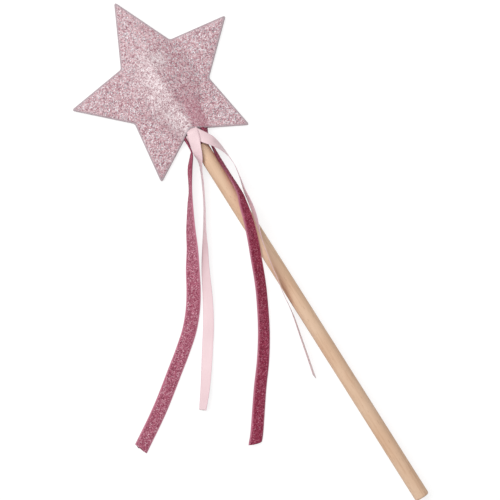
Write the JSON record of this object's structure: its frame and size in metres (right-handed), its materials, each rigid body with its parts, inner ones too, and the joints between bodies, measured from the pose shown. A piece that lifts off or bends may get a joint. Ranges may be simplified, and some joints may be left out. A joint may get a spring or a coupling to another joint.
{
  "type": "toy magic wand",
  "caption": "Toy magic wand: a padded glitter-fabric star glued on a wooden dowel, with velvet and satin ribbon tails tied round the neck.",
  "frame": {"origin": "on the table, under the middle of the wand's length without its ribbon tails", "axes": "+Y along the dowel from the free end towards the star's top tip, +Z out of the star's front, up off the table"},
  "size_m": [0.1797, 0.34, 0.0183],
  "materials": {
    "dowel_wood": "bare sanded wood",
    "glitter_fabric": "pale pink glitter fabric",
    "padding": "soft polyester wadding",
    "core_felt": "pale stiff felt",
    "glue": "set hot-melt glue",
    "velvet_ribbon": "dark pink glitter velvet ribbon",
    "satin_ribbon": "pale pink satin ribbon"
  },
  "bodies": {
    "wand": {"dowel": "dowel_wood", "star_front_panel": "glitter_fabric", "star_padding": "padding", "star_core": "core_felt", "star_back_panel": "glitter_fabric", "dowel_glue": "glue", "velvet_wrap": "velvet_ribbon", "satin_wrap": "satin_ribbon", "satin_lead_left": "satin_ribbon", "satin_lead_right": "satin_ribbon"},
    "velvet left": {"velvet_tail_left": "velvet_ribbon"},
    "velvet right": {"velvet_tail_right": "velvet_ribbon"},
    "satin left": {"satin_tail_left": "satin_ribbon"},
    "satin right": {"satin_tail_right": "satin_ribbon"}
  },
  "joints": [
    {"name": "velvet_left_lift", "type": "hinge", "parent": "wand", "child": "velvet left", "pos_m": [-0.0064, 0.0742, 0.0052], "axis": [-1, 0, 0], "range_deg": [0, 75]},
    {"name": "velvet_right_lift", "type": "hinge", "parent": "wand", "child": "velvet right", "pos_m": [0.0064, 0.06435, 0.0102], "axis": [-1, 0, 0], "range_deg": [0, 75]},
    {"name": "satin_left_lift", "type": "hinge", "parent": "wand", "child": "satin left", "pos_m": [-0.0028, 0.0745, 0.0133], "axis": [-1, 0, 0], "range_deg": [0, 75]},
    {"name": "satin_right_lift", "type": "hinge", "parent": "wand", "child": "satin right", "pos_m": [-0.007, -0.04085, 0.0073], "axis": [-1, 0, 0], "range_deg": [0, 75]}
  ]
}
